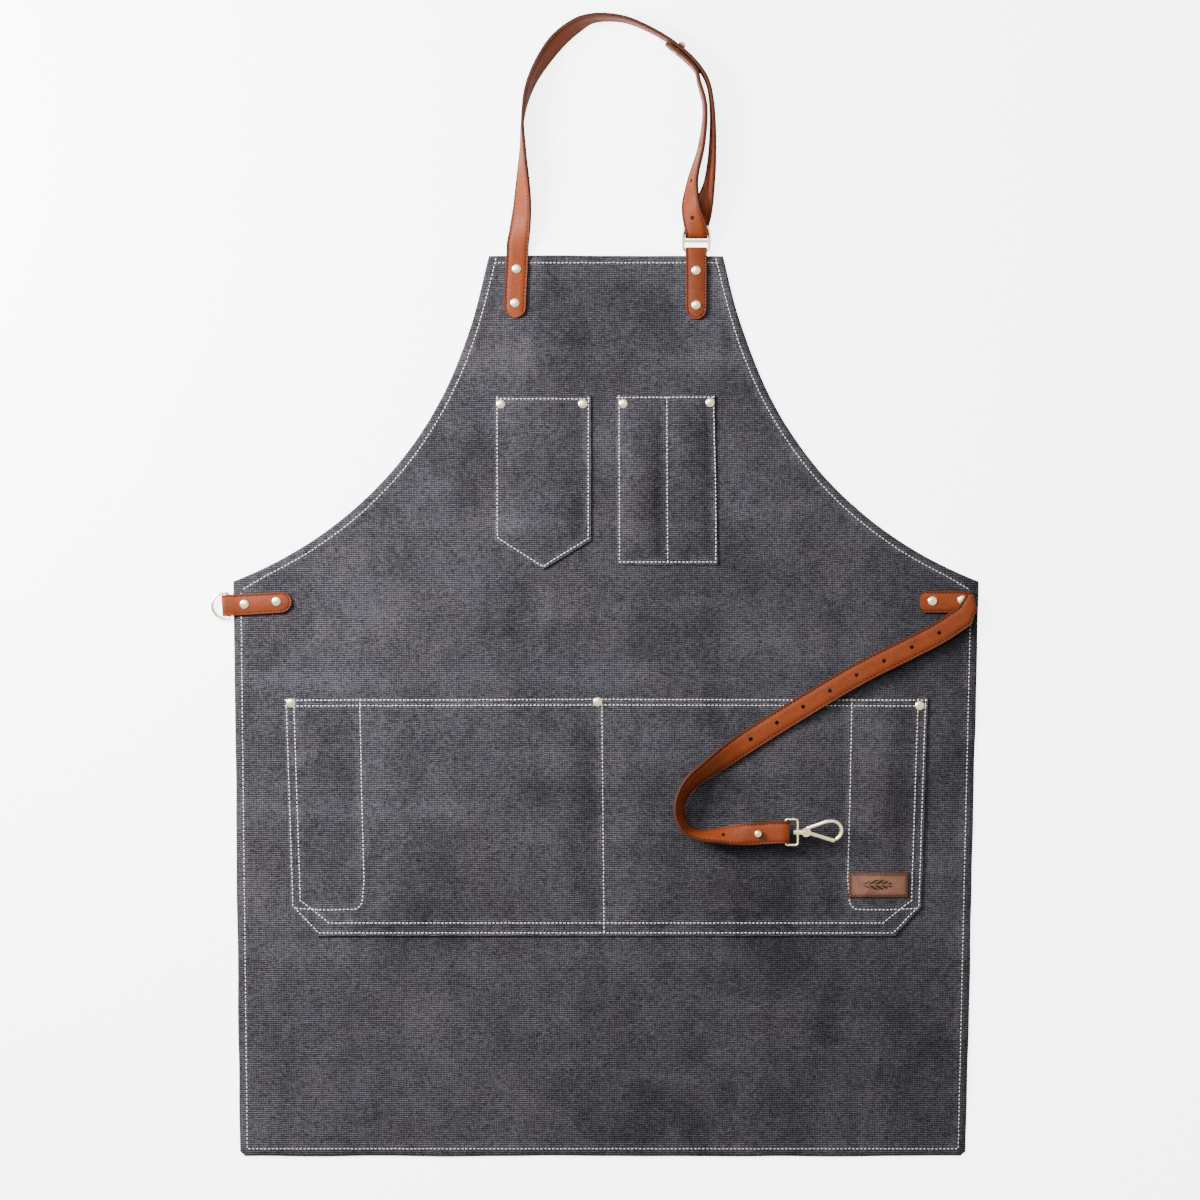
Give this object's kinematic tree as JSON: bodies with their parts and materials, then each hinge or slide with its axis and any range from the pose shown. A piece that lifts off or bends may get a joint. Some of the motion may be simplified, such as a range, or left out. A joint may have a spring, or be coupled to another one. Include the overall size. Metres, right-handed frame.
{
  "type": "work apron with leather straps",
  "caption": "Waxed canvas work apron lying flat, with riveted patch pockets, a leather neck strap through a dee ring and a leather waist strap with a swivel clasp.",
  "frame": {"origin": "middle of the bottom hem's back face, halfway across the hem, on the surface that the apron lies on", "axes": "+Y from the bottom hem to the neck, +Z out of the apron's front, +X towards the waist strap's side"},
  "size_m": [0.721, 1.0713, 0.0311],
  "materials": {
    "canvas": "waxed, dry hand",
    "leather": "satin",
    "brass": "polished, pale"
  },
  "bodies": {
    "apron": {"apron_body": "canvas", "pen_pocket": "canvas", "chest_pocket": "canvas", "lower_pocket": "canvas", "leather_label": "leather", "neck_strap_anchor": "leather", "neck_tab": "leather", "waist_tab": "leather", "waist_strap_anchor": "leather", "rivet_cap_neck_strap_upper": "brass", "rivet_cap_neck_strap_lower": "brass", "rivet_cap_neck_tab_upper": "brass", "rivet_cap_neck_tab_lower": "brass", "rivet_cap_waist_tab_outer": "brass", "rivet_cap_waist_tab_inner": "brass", "rivet_cap_waist_strap_outer": "brass", "rivet_cap_waist_strap_inner": "brass", "rivet_cap_pen_pocket_outer": "brass", "rivet_cap_pen_pocket_inner": "brass", "rivet_cap_chest_pocket_inner": "brass", "rivet_cap_chest_pocket_outer": "brass", "rivet_cap_lower_pocket_left": "brass", "rivet_cap_lower_pocket_middle": "brass", "rivet_cap_lower_pocket_right": "brass", "rivet_back_neck_strap_upper": "brass", "rivet_back_neck_strap_lower": "brass", "rivet_back_neck_tab_upper": "brass", "rivet_back_neck_tab_lower": "brass", "rivet_back_waist_tab_outer": "brass", "rivet_back_waist_tab_inner": "brass", "rivet_back_waist_strap_outer": "brass", "rivet_back_waist_strap_inner": "brass", "rivet_back_pen_pocket_outer": "brass", "rivet_back_pen_pocket_inner": "brass", "rivet_back_chest_pocket_inner": "brass", "rivet_back_chest_pocket_outer": "brass", "rivet_back_lower_pocket_left": "brass", "rivet_back_lower_pocket_middle": "brass", "rivet_back_lower_pocket_right": "brass"},
    "neck_loop": {"neck_strap": "leather", "neck_ring": "brass", "neck_stud": "brass", "neck_screw": "brass"},
    "waist_ring": {"waist_ring": "brass"},
    "waist_strap": {"waist_strap": "leather", "waist_stud": "brass", "waist_screw": "brass"},
    "clasp_loop": {"clasp_loop": "brass"},
    "clasp_hook": {"clasp_hook": "brass", "clasp_gate_pin": "brass", "clasp_gate_spring": "brass"},
    "clasp_gate": {"clasp_gate": "brass"}
  },
  "joints": [
    {"name": "neck_loop_fold", "type": "hinge", "parent": "apron", "child": "neck_loop", "pos_m": [0, 0.84595, 0.0042], "axis": [1, 0, 0], "range_deg": [-75, 75]},
    {"name": "waist_ring_swing", "type": "hinge", "parent": "apron", "child": "waist_ring", "pos_m": [-0.354, 0.51285, 0.0042], "axis": [-0.0593, 0.9982, 0], "range_deg": [-100, 100]},
    {"name": "waist_strap_fold", "type": "hinge", "parent": "apron", "child": "waist_strap", "pos_m": [0.3435, 0.51625, 0.00665], "axis": [-0.2821, 0.9594, 0], "range_deg": [0, 155]},
    {"name": "clasp_loop_tilt", "type": "hinge", "parent": "waist_strap", "child": "clasp_loop", "pos_m": [0.1675, 0.30125, 0.0224], "axis": [0, -1, 0], "range_deg": [0, 100]},
    {"name": "clasp_swivel", "type": "hinge", "parent": "clasp_loop", "child": "clasp_hook", "pos_m": [0.1789, 0.30125, 0.0224], "axis": [1, 0, 0], "continuous": true},
    {"name": "clasp_gate_open", "type": "hinge", "parent": "clasp_hook", "child": "clasp_gate", "pos_m": [0.1868, 0.30125, 0.0224], "axis": [0, 0, 1], "range_deg": [0, 20], "stiffness_Nm_per_rad": 0.03, "springref_deg": -17.19}
  ]
}
